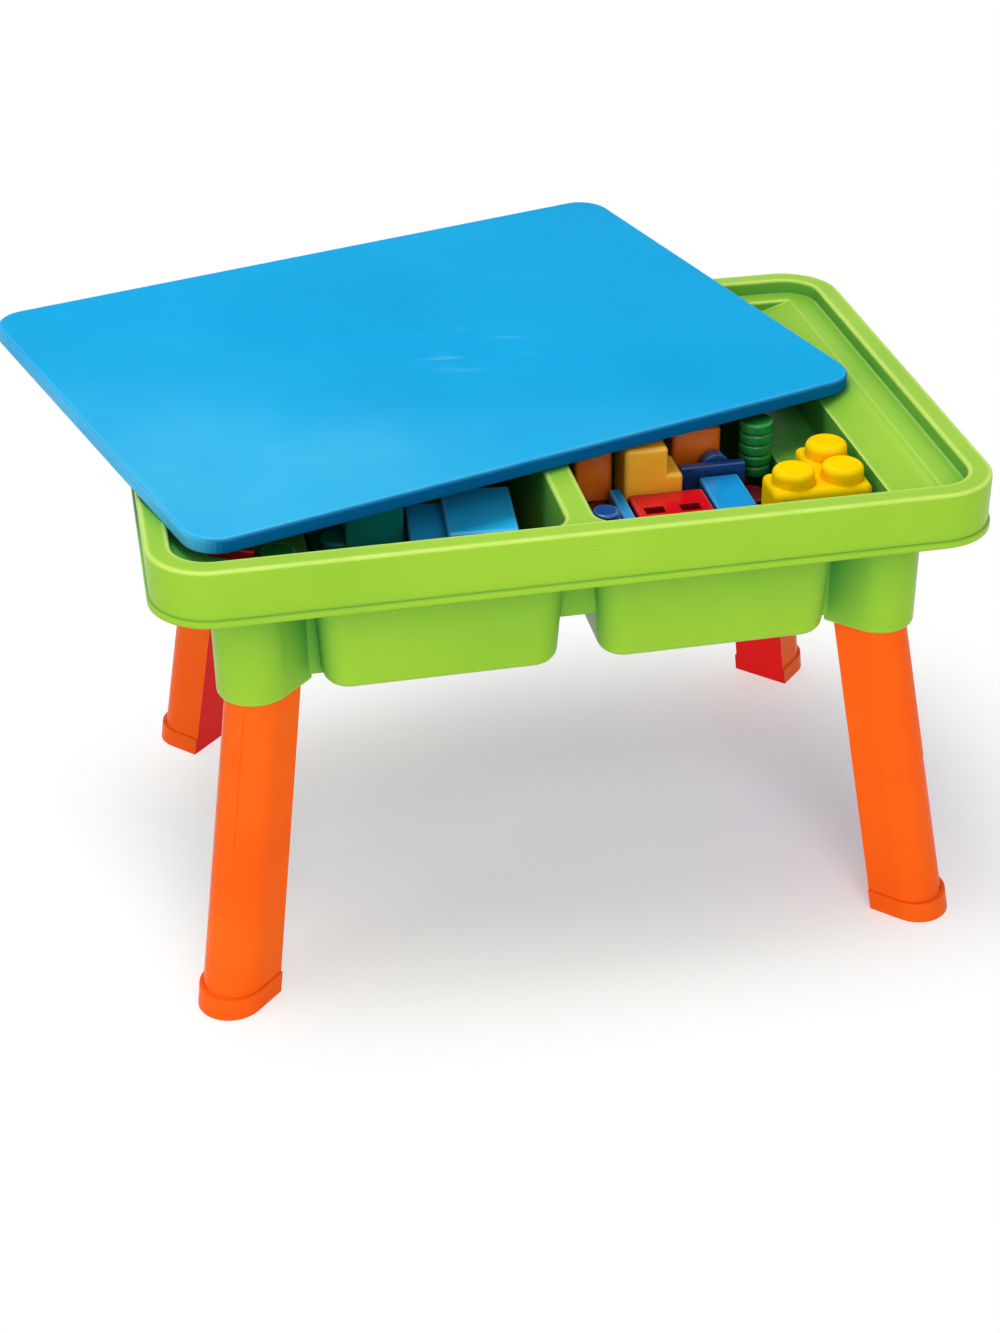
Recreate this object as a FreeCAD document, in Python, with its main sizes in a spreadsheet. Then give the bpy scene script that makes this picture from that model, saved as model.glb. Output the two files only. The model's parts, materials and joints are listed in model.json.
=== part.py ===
import FreeCAD
import Part
import Sketcher
import math
import os
import re

doc = FreeCAD.newDocument("activity_table")
dims = doc.addObject("Spreadsheet::Sheet", "dims")

# Every size in millimetres. Depths are measured down from the top of the rim.
SIZES = [
    ("tray_length", 480, "rim, outside, left to right"),
    ("tray_width", 340, "rim, outside, front to back"),
    ("table_height", 302, "floor to the top of the rim"),
    ("tray_wall", 2.5, "moulded wall of the tray"),
    ("rim_height", 33, "skirt of the rim"),
    ("rim_corner", 36, "plan radius of the rim"),
    ("rim_edge", 2, "round on the edges of the lip"),
    ("bead_out", 1.4, "bead along the foot of the skirt, out"),
    ("bead_height", 4, "bead along the foot of the skirt, high"),
    ("lip_width", 14, "flat lip round the lid's seat"),
    ("seat_depth", 9, "lid's seat below the lip"),
    ("seat_width", 16, "ledge that the lid sits on, at the ends"),
    ("seat_side", 14, "that ledge at the front and the back"),
    ("bin_depth", 98.7, "floor of the bins"),
    ("bin_draft", 4, "taper of each bin wall over its depth"),
    ("bin_corner", 13, "upright corners of the bins"),
    ("bin_foot", 3, "round along the floor of the bins, inside"),
    ("bin_round", 8, "round along the floor of the bins, outside"),
    ("bin_edge", 2, "round where the ledge drops into the bins"),
    ("divider_width", 16, "divider between the bins at the ledge"),
    ("divider_draft", 7, "taper of its walls over the bins' depth"),
    ("end_reach", 91, "rim face to the end of the bin"),
    ("shelf_depth", 40, "shelf over the leg sockets"),
    ("slope_run", 26.5, "sloped end of the opening, level run"),
    ("slope_drop", 8, "sloped end of the opening, fall"),
    ("slope_corner", 12, "plan radius at the ends of the opening"),
    ("web_inset", 15, "web between the bins, behind their faces"),
    ("web_depth", 74.2, "lower edge of that web"),
    ("socket_depth", 105, "mouth of the leg sockets"),
    ("socket_inset_x", 68, "rim end to the flat of the socket"),
    ("socket_inset_y", 65, "rim side to the flat of the socket"),
    ("socket_wall", 4.2, "wall of the leg sockets"),
    ("socket_clear", 0.2, "play of a leg in its socket"),
    ("socket_edge", 3, "round on the mouth of the sockets"),
    ("leg_top_width", 35, "leg section across the flat, top"),
    ("leg_base_width", 38.5, "leg section across the flat, base"),
    ("leg_straight", 19.5, "straight sides of the leg section"),
    ("leg_splay", 41, "how far the base stands out"),
    ("leg_wall", 2.5, "wall of the hollow leg"),
    ("strip_width", 11, "raised strip down the round of the leg"),
    ("strip_out", 0.6, "how far the strip stands out"),
    ("strip_length", 88, "length of the strip"),
    ("strip_gap", 1, "socket to the head of the strip"),
    ("foot_height", 13, "foot cap, height"),
    ("foot_floor", 3, "foot cap, floor"),
    ("foot_wall", 1, "foot cap, walls along the straight sides"),
    ("foot_toe", 1.8, "foot cap, extra wall at the front of the round"),
    ("foot_plug", 2, "foot cap, wall of the plug inside the leg"),
    ("foot_clear", 0.15, "play of the leg in the cap"),
    ("lid_clear", 1.5, "play of the lid in its seat, each side"),
    ("lid_edge", 2.5, "round on the upper edge of the lid"),
    ("lid_skin", 2.5, "skin of the lid"),
    ("lid_border", 9, "solid border under the lid"),
    ("lid_rib", 2.5, "ribs under the lid"),
    ("lid_columns", 6, "rib cells along the lid"),
    ("lid_rows", 4, "rib cells across the lid"),
    ("lid_gap", 0.2, "air between the lid and what it lies on"),
    ("lid_shift_x", -53, "lid as it lies, centre left or right"),
    ("lid_shift_y", 71, "lid as it lies, centre front or back"),
    ("lid_angle", 19.5, "lid as it lies, degrees about the upright"),
    ("block_margin", 11, "front of the bin to the first toy blocks"),
    ("block_play", 0.4, "toy blocks, gap between neighbours"),
    ("block_height", 20, "toy blocks, body"),
    ("block_wall", 2, "toy blocks, wall"),
    ("block_edge", 2, "toy blocks, rounded edges"),
    ("stud_height", 9, "toy blocks, stud"),
]
for row, (alias, number, note) in enumerate(SIZES, start=1):
    dims.set("A%d" % row, alias)
    dims.set("B%d" % row, str(number))
    dims.set("C%d" % row, note)
    dims.setAlias("B%d" % row, alias)
doc.recompute()

# Levels and limits shared by several sub-parts, written with the names above.
RIM = "table_height"
SKIRT = "(table_height - rim_height)"
SEAT = "(table_height - seat_depth)"
FLOOR = "(table_height - bin_depth)"
SHELF = "(table_height - shelf_depth)"
ROOF = "(table_height - shelf_depth - tray_wall)"
MOUTH = "(table_height - socket_depth)"
OPEN_X = "(tray_length / 2 - lip_width - seat_width)"
OPEN_Y = "(tray_width / 2 - lip_width - seat_side)"
BIN_START = "(divider_width / 2)"
BIN_END = "(tray_length / 2 - end_reach)"
SHELF_END = "(tray_length / 2 - lip_width - seat_width - slope_run)"
SLOPE_FOOT = "(table_height - seat_depth - slope_drop)"
LID_LENGTH = "(tray_length - 2 * lip_width - 2 * lid_clear)"
LID_WIDTH = "(tray_width - 2 * lip_width - 2 * lid_clear)"
LEG_SLOPE = "(leg_splay / (table_height - socket_depth - foot_floor))"
SOCKET_X = "(tray_length / 2 - socket_inset_x - leg_top_width * sqrt(0.125))"
SOCKET_Y = "(tray_width / 2 - socket_inset_y + leg_top_width * sqrt(0.125))"
STUD_SHARE = 0.71
SHELF_SHARE = 0.87
CORNERS = {"front_left": (-1, -1), "front_right": (1, -1), "back_right": (1, 1), "back_left": (-1, 1)}


def size(alias):
    return float(dims.get(alias))


def formula(text):
    return re.sub(r"[a-z]+(?:_[a-z]+)+", lambda found: "dims." + found.group(0), str(text))


def bind(item, links):
    for prop, text in links.items():
        item.setExpression(prop, formula(text))
    return item


def make(kind, name, links):
    return bind(doc.addObject(kind, name), links)


def box(name, x, y, z):
    return make("Part::Box", name, {
        "Length": "%s - %s" % (x[1], x[0]), "Width": "%s - %s" % (y[1], y[0]),
        "Height": "%s - %s" % (z[1], z[0]),
        "Placement.Base.x": x[0], "Placement.Base.y": y[0], "Placement.Base.z": z[0]})


def plate(name, length, width, low, high):
    return box(name, ("(-%s / 2)" % length, "(%s / 2)" % length),
               ("(-%s / 2)" % width, "(%s / 2)" % width), (low, high))


# A block whose walls lean: low and high give (x0, x1, y) at the two levels, y to both sides.
def leaning(name, low, high, z):
    item = make("Part::Wedge", name, {
        "Xmin": low[0], "Xmax": low[1], "Zmin": "-" + low[2], "Zmax": low[2],
        "X2min": high[0], "X2max": high[1], "Z2min": "-" + high[2], "Z2max": high[2],
        "Ymin": z[0], "Ymax": z[1]})
    item.Placement.Rotation = FreeCAD.Rotation(FreeCAD.Vector(1, 0, 0), 90)
    return item


def join(name, items):
    item = doc.addObject("Part::MultiFuse", name)
    item.Shapes = items
    return item


def cut(name, base, tool):
    item = doc.addObject("Part::Cut", name)
    item.Base = base
    item.Tool = tool
    return item


def rounded(name, base, radius, pick):
    doc.recompute()
    chosen = [number for number, edge in enumerate(base.Shape.Edges, start=1) if pick(edge)]
    item = doc.addObject("Part::Fillet", name)
    item.Base = base
    item.Edges = [(number, radius, radius) for number in chosen]
    doc.recompute()
    return item


def upright(edge):
    return edge.BoundBox.ZLength > 0.9 * edge.Length


def level(z):
    return lambda edge: abs(edge.BoundBox.ZMin - z) < 0.01 and abs(edge.BoundBox.ZMax - z) < 0.01


def mirrored(side, low, high):
    return (low, high) if side > 0 else ("(-%s)" % high, "(-%s)" % low)


# The section of a leg: a flat, two straight sides and a half round, the flat on the Y axis.
def leg_section(sketch, width, straight):
    corners = [FreeCAD.Vector(x, y, 0) for x, y in ((0, -10), (0, 10), (20, 10), (20, -10))]
    flat = sketch.addGeometry(Part.LineSegment(corners[0], corners[1]))
    side = sketch.addGeometry(Part.LineSegment(corners[1], corners[2]))
    circle = Part.Circle(FreeCAD.Vector(20, 0, 0), FreeCAD.Vector(0, 0, 1), 10)
    arc = sketch.addGeometry(Part.ArcOfCircle(circle, -math.pi / 2, math.pi / 2))
    back = sketch.addGeometry(Part.LineSegment(corners[3], corners[0]))
    for rule in (("Coincident", flat, 2, side, 1), ("Coincident", back, 2, flat, 1),
                 ("Tangent", side, 2, arc, 2), ("Tangent", arc, 1, back, 1),
                 ("Vertical", flat), ("Horizontal", side), ("Horizontal", back),
                 ("PointOnObject", arc, 3, -1), ("PointOnObject", flat, 1, -2)):
        sketch.addConstraint(Sketcher.Constraint(*rule))
    across = sketch.addConstraint(Sketcher.Constraint("DistanceY", flat, 1, flat, 2, 20))
    along = sketch.addConstraint(Sketcher.Constraint("DistanceX", side, 1, side, 2, 20))
    return bind(sketch, {"Constraints[%d]" % across: width, "Constraints[%d]" % along: straight})


def body_sketch(body, name, x, z):
    sketch = body.newObject("Sketcher::SketchObject", name)
    plane = [item for item in body.Origin.OriginFeatures if item.Role == "XY_Plane"][0]
    sketch.AttachmentSupport = (plane, [""])
    sketch.MapMode = "FlatFace"
    return bind(sketch, {"AttachmentOffset.Base.x": x, "AttachmentOffset.Base.z": z})


def section(body, name, x, z, width, straight):
    return leg_section(body_sketch(body, name, x, z), width, straight)


def loft(body, kind, name, low, high):
    item = body.newObject(kind, name)
    item.Profile = low
    item.Sections = [high]
    item.Ruled = True
    return item


def turn_to_corner(item, corner, inward):
    sx, sy = CORNERS[corner]
    shift = "(%s) * sqrt(0.5)" % inward
    item.Placement.Rotation = FreeCAD.Rotation(FreeCAD.Vector(0, 0, 1), math.degrees(math.atan2(sy, sx)))
    return bind(item, {
        "Placement.Base.x": "%d * (tray_length / 2 - socket_inset_x - %s)" % (sx, shift),
        "Placement.Base.y": "%d * (tray_width / 2 - socket_inset_y - %s)" % (sy, shift)})


# Tray: the rim with its lip and lid seat.
def rim():
    radius = size("rim_corner")
    wall = size("tray_wall")
    outer = rounded("rim_outer", plate("rim_box", "tray_length", "tray_width", SKIRT, RIM), radius, upright)
    bead_box = plate("bead_box", "(tray_length + 2 * bead_out)", "(tray_width + 2 * bead_out)",
                     SKIRT, "(%s + bead_height)" % SKIRT)
    bead_plan = rounded("bead_plan", bead_box, radius + size("bead_out"), upright)
    top = size("table_height") - size("rim_height") + size("bead_height")
    bead = rounded("bead", bead_plan, size("bead_out"), level(top))
    hollow_box = plate("rim_hollow_box", "(tray_length - 2 * tray_wall)", "(tray_width - 2 * tray_wall)",
                       "(%s - bead_height)" % SKIRT, "(table_height - tray_wall)")
    hollow = rounded("rim_hollow", hollow_box, radius - wall, upright)
    skirt = cut("skirt", join("rim_solid", [outer, bead]), hollow)
    tub_box = plate("seat_box", "(tray_length - 2 * lip_width + 2 * tray_wall)",
                    "(tray_width - 2 * lip_width + 2 * tray_wall)",
                    "(%s - tray_wall)" % SEAT, "(table_height - tray_wall / 2)")
    tub = rounded("seat_tub", tub_box, radius - size("lip_width") + wall, upright)
    recess_box = plate("recess_box", "(tray_length - 2 * lip_width)", "(tray_width - 2 * lip_width)",
                       SEAT, "(table_height + lip_width)")
    recess = rounded("recess", recess_box, radius - size("lip_width"), upright)
    shell = cut("rim_shell", join("rim_and_seat", [skirt, tub]), recess)
    return rounded("rim_rounded", shell, size("rim_edge"), level(size("table_height")))


# Tray: one bin with the shelf and the slope at its end, as a skin (grow 1) or as its hollow (grow 0).
def bin_shapes(name, side, grow):
    skin = "%d * tray_wall" % grow
    wide = "(%s + %s)" % (OPEN_Y, skin)
    foot = "(%s - bin_draft + %s)" % (OPEN_Y, skin)
    wall = grow * size("tray_wall")
    top = SEAT if grow else "(%s + tray_wall)" % SEAT
    bottom = "(%s - %s)" % (FLOOR, skin)
    near = "(%s - %s)" % (BIN_START, skin)
    end = "(%s + %s)" % (BIN_END, skin)
    low = mirrored(side, "(%s + divider_draft)" % near, "(%s - bin_draft)" % end)
    high = mirrored(side, near, end)
    raw = leaning(name + "_raw", low + (foot,), high + (wide,), (bottom, top))
    corners = rounded(name + "_corners", raw, size("bin_corner") + wall, upright)
    floor = size("table_height") - size("bin_depth") - wall
    deep = rounded(name + "_deep", corners, size("bin_round" if grow else "bin_foot"), level(floor))
    middle = "((%s + %s) / 2)" % (BIN_START, BIN_END)
    shelf_x = mirrored(side, middle, "(%s + %s)" % (SHELF_END, skin))
    shelf_raw = box(name + "_shelf_raw", shelf_x, ("-" + wide, wide), ("(%s - %s)" % (SHELF, skin), SEAT))
    shelf = rounded(name + "_shelf", shelf_raw, size("slope_corner") + wall, upright)
    slope_low = mirrored(side, middle, "(%s + %s)" % (SHELF_END, skin)) + (wide,)
    slope_high = mirrored(side, middle, "(%s + %s)" % (OPEN_X, skin)) + (wide,)
    slope_raw = leaning(name + "_slope_raw", slope_low, slope_high, ("(%s - %s)" % (SLOPE_FOOT, skin), SEAT))
    slope = rounded(name + "_slope", slope_raw, size("slope_corner") + wall, upright)
    return [deep, shelf, slope]


def socket(corner, name, grow, low, high):
    sketch = doc.addObject("Sketcher::SketchObject", name + "_plan")
    leg_section(sketch, "leg_top_width + 2 * (%s)" % grow, "leg_straight + (%s)" % grow)
    turn_to_corner(sketch, corner, grow)
    bind(sketch, {"Placement.Base.z": low})
    column = make("Part::Extrusion", name, {"LengthFwd": "%s - %s" % (high, low)})
    column.Base = sketch
    column.DirMode = "Custom"
    column.Dir = FreeCAD.Vector(0, 0, 1)
    column.Solid = True
    return column


# A plate from the end of a bin to the near corner of a socket, down to the floor of the bin.
def brace(corner):
    sx, sy = CORNERS[corner]
    along = mirrored(sx, "(%s - bin_draft + tray_wall - bin_round / 2)" % BIN_END, "(%s - socket_wall / 2)" % SOCKET_X)
    across = mirrored(sy, "(%s - tray_wall / 2)" % SOCKET_Y, "(%s + tray_wall / 2)" % SOCKET_Y)
    return box("brace_" + corner, along, across, ("(%s - tray_wall / 2)" % FLOOR, "(%s + tray_wall / 2)" % ROOF))


# The edges of the ledge round the two openings, not the foot of the lip.
def opening_edge(edge):
    reach_x = size("tray_length") / 2 - size("lip_width") - size("seat_width") + 0.1
    reach_y = size("tray_width") / 2 - size("lip_width") - size("seat_side") + 0.1
    limits = edge.BoundBox
    inside_x = max(abs(limits.XMin), abs(limits.XMax)) < reach_x
    inside_y = max(abs(limits.YMin), abs(limits.YMax)) < reach_y
    return inside_x and inside_y and level(size("table_height") - size("seat_depth"))(edge)


def tray():
    solid = [rim()]
    hollow = []
    for side, where in ((1, "right"), (-1, "left")):
        solid += bin_shapes("bin_skin_" + where, side, 1)
        hollow += bin_shapes("bin_" + where, side, 0)
    for corner in CORNERS:
        column = socket(corner, "socket_" + corner, "socket_wall + socket_clear", MOUTH, SHELF)
        mouth = size("table_height") - size("socket_depth")
        solid.append(rounded("socket_round_" + corner, column, size("socket_edge"), level(mouth)))
        hollow.append(socket(corner, "bore_" + corner, "socket_clear", "(%s - leg_wall)" % MOUTH, ROOF))
        solid.append(brace(corner))
    for side, where in ((1, "back"), (-1, "front")):
        across = mirrored(side, "(%s - web_inset)" % OPEN_Y, "(%s - web_inset + tray_wall)" % OPEN_Y)
        span = "(divider_width / 2 + divider_draft / 2)"
        solid.append(box("web_" + where, ("-" + span, span), across,
                         ("(table_height - web_depth)", "(%s - tray_wall / 2)" % SEAT)))
    shell = cut("tray_shell", join("tray_solid", solid), join("tray_hollow", hollow))
    item = rounded("tray", shell, size("bin_edge"), opening_edge)
    item.Label = "tray"
    return item


def leg(corner):
    body = doc.addObject("PartDesign::Body", "leg_" + corner)
    body.Label = "leg_" + corner
    thin = "leg_wall"
    base = section(body, "base_" + corner, "0", "foot_floor", "leg_base_width", "leg_straight")
    top = section(body, "top_" + corner, "-leg_splay", MOUTH, "leg_top_width", "leg_straight")
    base_in = section(body, "base_in_" + corner, thin, "foot_floor",
                      "leg_base_width - 2 * leg_wall", "leg_straight - leg_wall")
    top_in = section(body, "top_in_" + corner, "leg_wall - leg_splay", MOUTH,
                     "leg_top_width - 2 * leg_wall", "leg_straight - leg_wall")
    loft(body, "PartDesign::AdditiveLoft", "shaft_" + corner, base, top)
    spigot = body.newObject("PartDesign::Pad", "spigot_" + corner)
    spigot.Profile = top
    bind(spigot, {"Length": "%s - %s" % (ROOF, MOUTH)})
    loft(body, "PartDesign::SubtractiveLoft", "hollow_" + corner, base_in, top_in)
    upper = body.newObject("PartDesign::Pocket", "spigot_hollow_" + corner)
    upper.Profile = top_in
    upper.Reversed = True
    bind(upper, {"Length": "%s - %s - leg_wall" % (ROOF, MOUTH)})
    head = strip_section(body, "strip_head_" + corner, "(%s - strip_gap)" % MOUTH)
    tail = strip_section(body, "strip_tail_" + corner, "(%s - strip_gap - strip_length)" % MOUTH)
    loft(body, "PartDesign::AdditiveLoft", "strip_" + corner, tail, head)
    return turn_to_corner(body, corner, "-leg_splay")


# The strip at one level: an arc just outside the round of the leg, closed inside its wall.
def strip_section(body, name, z):
    share = "((%s - foot_floor) / (%s - foot_floor))" % (z, MOUTH)
    round_by = "((leg_base_width + (leg_top_width - leg_base_width) * %s) / 2)" % share
    sketch = body_sketch(body, name, "-leg_splay * %s" % share, z)
    circle = Part.Circle(FreeCAD.Vector(20, 0, 0), FreeCAD.Vector(0, 0, 1), 19)
    out, wide = 20 + 19 * math.cos(0.3), 19 * math.sin(0.3)
    arc = sketch.addGeometry(Part.ArcOfCircle(circle, -0.3, 0.3))
    corners = [FreeCAD.Vector(x, y, 0) for x, y in ((out, wide), (30, wide), (30, -wide), (out, -wide))]
    upper, back, lower = [sketch.addGeometry(Part.LineSegment(corners[i], corners[i + 1])) for i in range(3)]
    for rule in (("Coincident", arc, 2, upper, 1), ("Coincident", upper, 2, back, 1),
                 ("Coincident", back, 2, lower, 1), ("Coincident", lower, 2, arc, 1),
                 ("Horizontal", upper), ("Horizontal", lower),
                 ("PointOnObject", arc, 3, -1), ("Symmetric", back, 1, back, 2, -1)):
        sketch.addConstraint(Sketcher.Constraint(*rule))
    links = {}
    for rule, text in ((("DistanceX", -1, 1, arc, 3, 20), "leg_straight"),
                       (("Radius", arc, 19), "%s + strip_out" % round_by),
                       (("DistanceY", arc, 1, arc, 2, 2 * wide), "strip_width"),
                       (("DistanceX", -1, 1, back, 1, 30), "leg_straight + %s - leg_wall / 2" % round_by)):
        links["Constraints[%d]" % sketch.addConstraint(Sketcher.Constraint(*rule))] = text
    return bind(sketch, links)


# A foot cap is flush with the flat of the leg, stands out round the rest and plugs into the hollow.
def foot(corner):
    body = doc.addObject("PartDesign::Body", "foot_" + corner)
    body.Label = "foot_" + corner
    sink = "(foot_floor * %s)" % LEG_SLOPE
    rise = "((foot_height - foot_floor) * %s)" % LEG_SLOPE
    grow = "(foot_clear + foot_wall)"
    inset = "(leg_wall + 2 * foot_clear)"
    core = "(leg_wall + 2 * foot_clear + foot_plug)"
    outer = ("leg_base_width + 2 * %s" % grow, "leg_straight + foot_toe")
    seat = ("leg_base_width + 2 * foot_clear", "leg_straight + leg_wall")
    plug = ("leg_base_width - 2 * %s" % inset, "leg_straight - %s" % inset)
    hole = ("leg_base_width - 2 * %s" % core, "leg_straight - %s" % core)
    low = section(body, "cap_low_" + corner, sink, "0", *outer)
    high = section(body, "cap_high_" + corner, "-" + rise, "foot_height", *outer)
    seat_low = section(body, "seat_low_" + corner, "-leg_wall", "foot_floor", *seat)
    seat_high = section(body, "seat_high_" + corner, "-%s - leg_wall" % rise, "foot_height", *seat)
    plug_low = section(body, "plug_low_" + corner, "%s + %s" % (sink, inset), "0", *plug)
    plug_high = section(body, "plug_high_" + corner, "%s - %s" % (inset, rise), "foot_height", *plug)
    hole_low = section(body, "hole_low_" + corner, core, "foot_floor", *hole)
    hole_high = section(body, "hole_high_" + corner, "%s - %s" % (core, rise), "foot_height", *hole)
    loft(body, "PartDesign::AdditiveLoft", "cap_" + corner, low, high)
    loft(body, "PartDesign::SubtractiveLoft", "cap_seat_" + corner, seat_low, seat_high)
    loft(body, "PartDesign::AdditiveLoft", "cap_plug_" + corner, plug_low, plug_high)
    loft(body, "PartDesign::SubtractiveLoft", "cap_hole_" + corner, hole_low, hole_high)
    return turn_to_corner(body, corner, "-leg_splay")


def rectangle(sketch, x, y, length, width):
    points = [FreeCAD.Vector(a, b, 0) for a, b in ((-30, -20), (30, -20), (30, 20), (-30, 20))]
    sides = [sketch.addGeometry(Part.LineSegment(points[i], points[(i + 1) % 4])) for i in range(4)]
    rules = [("Coincident", sides[i], 2, sides[(i + 1) % 4], 1) for i in range(4)]
    rules += [("Horizontal", sides[0]), ("Horizontal", sides[2])]
    rules += [("Vertical", sides[1]), ("Vertical", sides[3])]
    for rule in rules:
        sketch.addConstraint(Sketcher.Constraint(*rule))
    links = {}
    for rule, text in ((("DistanceX", sides[0], 1, -1, 1, 30), x), (("DistanceY", sides[0], 1, -1, 1, 20), y),
                       (("DistanceX", sides[0], 1, sides[0], 2, 60), length),
                       (("DistanceY", sides[1], 1, sides[1], 2, 40), width)):
        links["Constraints[%d]" % sketch.addConstraint(Sketcher.Constraint(*rule))] = text
    return bind(sketch, links)


def body_round(body, name, base, radius, pick):
    doc.recompute()
    names = ["Edge%d" % number for number, edge in enumerate(base.Shape.Edges, start=1) if pick(edge)]
    item = body.newObject("PartDesign::Fillet", name)
    item.Base = (base, names)
    return bind(item, {"Radius": radius})


# The lid lies askew on three things: the left lip, the back lip and the slope at the right end.
def lid_place():
    turn = math.radians(size("lid_angle"))
    centre = FreeCAD.Vector(size("lid_shift_x"), size("lid_shift_y"), 0)
    along = FreeCAD.Vector(math.cos(turn), math.sin(turn), 0)
    across = FreeCAD.Vector(-math.sin(turn), math.cos(turn), 0)
    inset = size("lip_width") + size("lid_clear")
    half_length = size("tray_length") / 2 - inset
    half_width = size("tray_width") / 2 - inset
    front_left = centre - along * half_length - across * half_width
    front_right = centre + along * half_length - across * half_width
    lip_x = size("lip_width") - size("rim_edge") - size("tray_length") / 2
    lip_y = size("tray_width") / 2 - size("lip_width") + size("rim_edge")
    top = size("table_height")
    left = front_left + across * ((lip_x - front_left.x) / across.x)
    back = front_right + across * ((lip_y - front_right.y) / across.y)
    corner = size("rim_corner") - inset
    tip = front_right - along * corner + across * corner + FreeCAD.Vector(corner, 0, 0)
    open_x = size("tray_length") / 2 - size("lip_width") - size("seat_width")
    fall = max(0.0, open_x - tip.x) * size("slope_drop") / size("slope_run")
    left.z = top
    back.z = top
    tip.z = top - size("seat_depth") - fall
    normal = (tip - left).cross(back - left).normalize()
    x_axis = along - normal * along.dot(normal)
    x_axis.normalize()
    y_axis = normal.cross(x_axis)
    centre.z = left.z - ((centre.x - left.x) * normal.x + (centre.y - left.y) * normal.y) / normal.z
    turned = FreeCAD.Rotation(x_axis, y_axis, normal, "ZXY")
    return FreeCAD.Placement(centre + normal * size("lid_gap"), turned)


def lid():
    body = doc.addObject("PartDesign::Body", "lid")
    body.Label = "lid"
    plan = rectangle(body_sketch(body, "lid_plan", "0", "0"), LID_LENGTH + " / 2", LID_WIDTH + " / 2",
                     LID_LENGTH, LID_WIDTH)
    panel = body.newObject("PartDesign::Pad", "lid_panel")
    panel.Profile = plan
    bind(panel, {"Length": "seat_depth"})
    corners = body_round(body, "lid_corners", panel, "rim_corner - lip_width - lid_clear", upright)
    edge = body_round(body, "lid_edges", corners, "lid_edge", level(size("seat_depth")))
    cell_x = "((%s - 2 * lid_border + lid_rib) / lid_columns)" % LID_LENGTH
    cell_y = "((%s - 2 * lid_border + lid_rib) / lid_rows)" % LID_WIDTH
    cell = rectangle(body_sketch(body, "lid_cell", "0", "0"), LID_LENGTH + " / 2 - lid_border",
                     LID_WIDTH + " / 2 - lid_border", cell_x + " - lid_rib", cell_y + " - lid_rib")
    pocket = body.newObject("PartDesign::Pocket", "lid_pocket")
    pocket.Profile = cell
    pocket.Reversed = True
    bind(pocket, {"Length": "seat_depth - lid_skin"})
    doc.recompute()
    cells = body.newObject("PartDesign::MultiTransform", "lid_cells")
    cells.Originals = [pocket]
    steps = []
    for name, axis, pitch, count in (("lid_cells_x", "H_Axis", cell_x, "lid_columns"),
                                     ("lid_cells_y", "V_Axis", cell_y, "lid_rows")):
        step = body.newObject("PartDesign::LinearPattern", name)
        step.Direction = (cell, [axis])
        bind(step, {"Length": "%s * (%s - 1)" % (pitch, count), "Occurrences": count})
        steps.append(step)
    cells.Transformations = steps
    body.Tip = cells
    edge.Visibility = False
    body.Placement = lid_place()
    return body


# Stud spacing of the toy blocks: four fill a bin from the divider to its end, and a shelf takes one.
def units():
    bin_run = size("tray_length") / 2 - size("end_reach") - size("divider_width") / 2
    bin_run -= size("bin_draft") + size("divider_draft")
    shelf_run = size("end_reach") - size("lip_width") - size("seat_width") - size("slope_run")
    return (bin_run - 2 * size("bin_foot")) / 4, shelf_run * SHELF_SHARE


# A toy block, open from below or solid. Plan, step run and windows are in stud spacings, height
# and step fall in block heights. A step lowers its far end, a notch leaves out its back left quarter.
def block(label, unit, plan, height, studs=(0, 0), edge=1, step=None, windows=(), solid=False, notch=False,
          stud_share=STUD_SHARE):
    length = plan[0] * unit - size("block_play")
    width = plan[1] * unit - size("block_play")
    high = height * size("block_height")
    radius = edge * size("block_edge")
    whole = plate(label + "_box", str(length), str(width), "0", str(high))
    inner = None
    if step:
        inner = (length / 2 - step[0] * unit, high - step[1] * size("block_height"))
        ledge = box(label + "_step", (str(inner[0]), str(length)), (str(-width), str(width)),
                    (str(inner[1]), str(2 * high)))
        whole = cut(label + "_stepped", whole, ledge)
    if notch:
        quarter = box(label + "_quarter", (str(-length), "0"), ("0", str(width)), ("(-%s)" % high, str(2 * high)))
        whole = cut(label + "_notched", whole, quarter)
    shaped = rounded(label + "_round", whole, radius,
                     lambda line: line.BoundBox.ZMax > 0.1 and not at_corner(line, inner))
    pieces = [shaped]
    for column in range(studs[0]):
        for row in range(studs[1]):
            if notch and column == 0 and row > 0:
                continue
            stud = make("Part::Cylinder", "%s_stud_%d_%d" % (label, column, row), {
                "Radius": str(stud_share * unit / 2), "Height": "stud_height + block_wall",
                "Placement.Base.x": str((column - (studs[0] - 1) / 2) * unit),
                "Placement.Base.y": str((row - (studs[1] - 1) / 2) * unit),
                "Placement.Base.z": "%s - block_wall" % high})
            pieces.append(rounded(stud.Name + "_round", stud, radius, level(high + size("stud_height"))))
    item = join(label + "_whole", pieces) if len(pieces) > 1 else shaped
    gaps = []
    if not solid:
        inside = ["(%s - 2 * block_wall)" % side for side in (length, width)]
        room = plate(label + "_hollow", inside[0], inside[1], "-block_wall", "(%s - block_wall)" % high)
        if notch:
            kept = box(label + "_kept", (str(-length), "block_wall"), ("-block_wall", str(width)),
                       ("(-%s)" % high, str(2 * high)))
            room = cut(label + "_room", room, kept)
        gaps.append(room)
    for number, (x, y, wide, deep) in enumerate(windows):
        across = [str((x + way * wide / 2) * unit) for way in (-1, 1)]
        along = [str((y + way * deep / 2) * unit) for way in (-1, 1)]
        gaps.append(box("%s_window_%d" % (label, number), across, along, ("(-%s)" % high, str(2 * high))))
    if gaps:
        item = cut(label + "_cut", item, join(label + "_gaps", gaps) if len(gaps) > 1 else gaps[0])
    item.Label = label
    return item


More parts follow.
